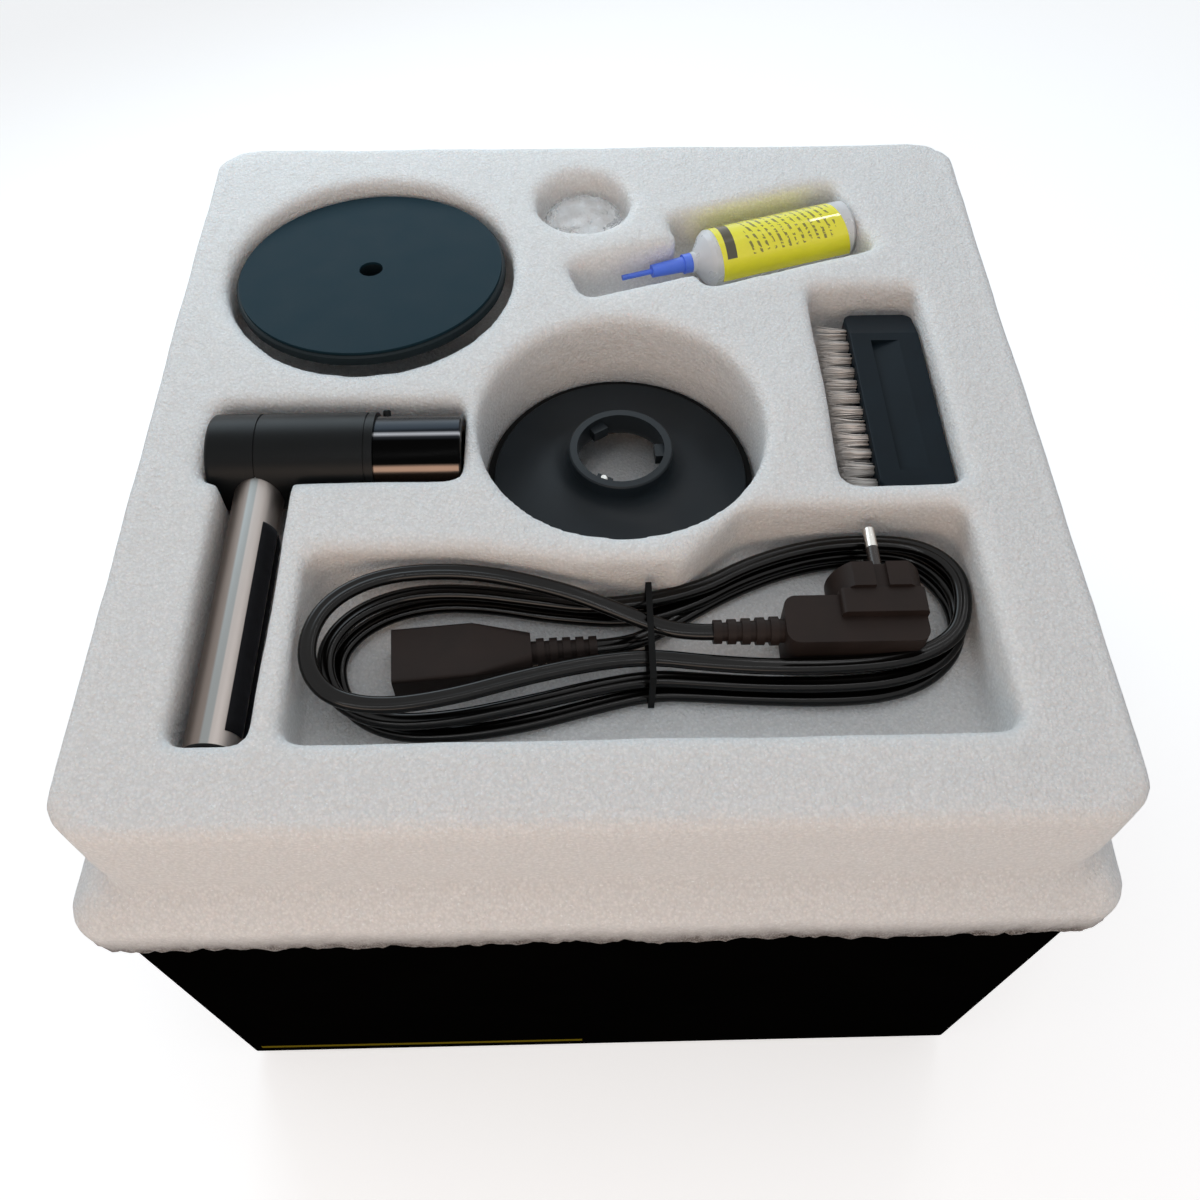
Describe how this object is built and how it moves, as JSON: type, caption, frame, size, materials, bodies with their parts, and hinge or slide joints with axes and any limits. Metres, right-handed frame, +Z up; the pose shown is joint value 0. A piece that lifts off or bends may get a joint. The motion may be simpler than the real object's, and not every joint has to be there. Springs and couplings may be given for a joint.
{
  "type": "record cleaning machine",
  "caption": "Boxed vacuum record cleaning machine under its fitted foam cap, which holds the platter, clamp, suction arm, brush, fluid bottle and mains cord.",
  "frame": {"origin": "centre of the footprint on the floor", "axes": "+X to the right and +Y to the back, seen from the side opposite the mains inlet; +Z up"},
  "size_m": [0.396, 0.396, 0.3143],
  "materials": {
    "case_black": "satin",
    "zinc_steel": "satin",
    "screw_black": "satin",
    "foot_rubber": "matte",
    "steel": "satin",
    "aluminium_cast": "satin",
    "black_plastic": "matte",
    "hose_grey": "matte",
    "tank_white": "satin",
    "rocker_black": "gloss",
    "hose_clear": "gloss",
    "board_green": "satin",
    "wire_black": "satin",
    "foam_white": "matte",
    "platter_black": "satin",
    "mat_dark": "matte",
    "clamp_black": "satin",
    "seal_rubber": "matte",
    "arm_black": "satin",
    "tube_grey": "satin",
    "velvet_black": "matte",
    "brush_black": "satin",
    "bristle_cream": "matte",
    "bottle_clear": "gloss",
    "label_yellow": "gloss",
    "nozzle_blue": "satin",
    "bag_clear": "gloss",
    "cord_black": "satin",
    "plug_black": "matte",
    "pin_nickel": "gloss",
    "tie_black": "satin"
  },
  "bodies": {
    "machine": {"case_shell": "case_black", "bottom_plate": "case_black", "corner_posts": "zinc_steel", "case_screws": "screw_black", "feet": "foot_rubber", "top_plate": "case_black", "spindle_bearings": "steel", "drive_chassis": "aluminium_cast", "gear_motor": "zinc_steel", "drive_belt": "foot_rubber", "arm_socket": "black_plastic", "suction_hose": "hose_grey", "waste_tank": "tank_white", "tank_lid": "tank_white", "vacuum_housing": "black_plastic", "vacuum_lid": "black_plastic", "vacuum_hose": "hose_grey", "mains_inlet": "black_plastic", "toggle_bodies": "steel", "drain_elbow": "black_plastic", "drain_hose": "hose_clear", "hose_clips": "black_plastic", "power_board": "board_green", "wiring_loom": "wire_black"},
    "spindle_unit": {"spindle": "steel", "spindle_pulley": "aluminium_cast"},
    "motor_output": {"motor_pulley": "aluminium_cast"},
    "fan": {"vacuum_rotor": "aluminium_cast"},
    "power_switch": {"power_rocker": "rocker_black"},
    "rotation_switch": {"rotation_toggle": "steel"},
    "vacuum_switch": {"vacuum_toggle": "steel"},
    "drain_stopper": {"drain_cap": "rocker_black"},
    "tray": {"foam_pit_sheet": "foam_white", "foam_deep_sheet": "foam_white", "foam_base": "foam_white"},
    "platter": {"platter_disc": "platter_black", "platter_mat": "mat_dark"},
    "clamp": {"clamp_cone": "clamp_black", "clamp_seal": "seal_rubber", "clamp_screw": "steel"},
    "suction_arm": {"arm_cap": "arm_black", "arm_sleeve": "arm_black", "arm_riser": "arm_black", "arm_pin": "arm_black", "suction_tube": "tube_grey", "velvet_strips": "velvet_black", "tube_plug": "arm_black"},
    "brush": {"brush_handle": "brush_black", "brush_tufts": "bristle_cream"},
    "bottle": {"bottle_body": "bottle_clear", "bottle_label": "label_yellow", "bottle_nozzle": "nozzle_blue"},
    "small_parts": {"parts_bag": "bag_clear"},
    "mains_cord": {"cord_hank": "cord_black", "plug_lead": "cord_black", "connector_lead": "cord_black", "c13_connector": "plug_black", "schuko_plug": "plug_black", "schuko_pins": "pin_nickel", "cord_tie": "tie_black"}
  },
  "joints": [
    {"name": "tray_lift", "type": "slide", "parent": "machine", "child": "tray", "axis": [0, 0, 1], "range_m": [0, 0.15]},
    {"name": "platter_lift", "type": "slide", "parent": "tray", "child": "platter", "axis": [0, 0, 1], "range_m": [0, 0.06]},
    {"name": "clamp_lift", "type": "slide", "parent": "tray", "child": "clamp", "axis": [0, 0, 1], "range_m": [0, 0.07]},
    {"name": "arm_lift", "type": "slide", "parent": "tray", "child": "suction_arm", "axis": [0, 0, 1], "range_m": [0, 0.06]},
    {"name": "brush_lift", "type": "slide", "parent": "tray", "child": "brush", "axis": [0, 0, 1], "range_m": [0, 0.06]},
    {"name": "bottle_lift", "type": "slide", "parent": "tray", "child": "bottle", "axis": [0, 0, 1], "range_m": [0, 0.05]},
    {"name": "small_parts_lift", "type": "slide", "parent": "tray", "child": "small_parts", "axis": [0, 0, 1], "range_m": [0, 0.04]},
    {"name": "cord_lift", "type": "slide", "parent": "tray", "child": "mains_cord", "axis": [0, 0, 1], "range_m": [0, 0.06]},
    {"name": "spindle_spin", "type": "hinge", "parent": "machine", "child": "spindle_unit", "pos_m": [0.02, -0.02, 0.2], "axis": [0, 0, 1], "continuous": true},
    {"name": "motor_spin", "type": "hinge", "parent": "machine", "child": "motor_output", "pos_m": [0.09, -0.02, 0.155], "axis": [0, 0, 1], "continuous": true},
    {"name": "fan_spin", "type": "hinge", "parent": "machine", "child": "fan", "pos_m": [0.105, 0.1, 0.06], "axis": [0, 0, 1], "continuous": true},
    {"name": "power_rock", "type": "hinge", "parent": "machine", "child": "power_switch", "pos_m": [-0.008, 0.1875, 0.071], "axis": [1, 0, 0], "range_deg": [-8, 8]},
    {"name": "rotation_flick", "type": "hinge", "parent": "machine", "child": "rotation_switch", "pos_m": [-0.125, -0.145, 0.234], "axis": [1, 0, 0], "range_deg": [-14, 14]},
    {"name": "vacuum_flick", "type": "hinge", "parent": "machine", "child": "vacuum_switch", "pos_m": [-0.085, -0.145, 0.234], "axis": [1, 0, 0], "range_deg": [-14, 14]},
    {"name": "drain_cap_pull", "type": "slide", "parent": "machine", "child": "drain_stopper", "axis": [0, 0, 1], "range_m": [0, 0.03]}
  ],
  "couplings": [
    {"joint": "motor_spin", "follows": "spindle_spin", "ratio": 2.5}
  ]
}
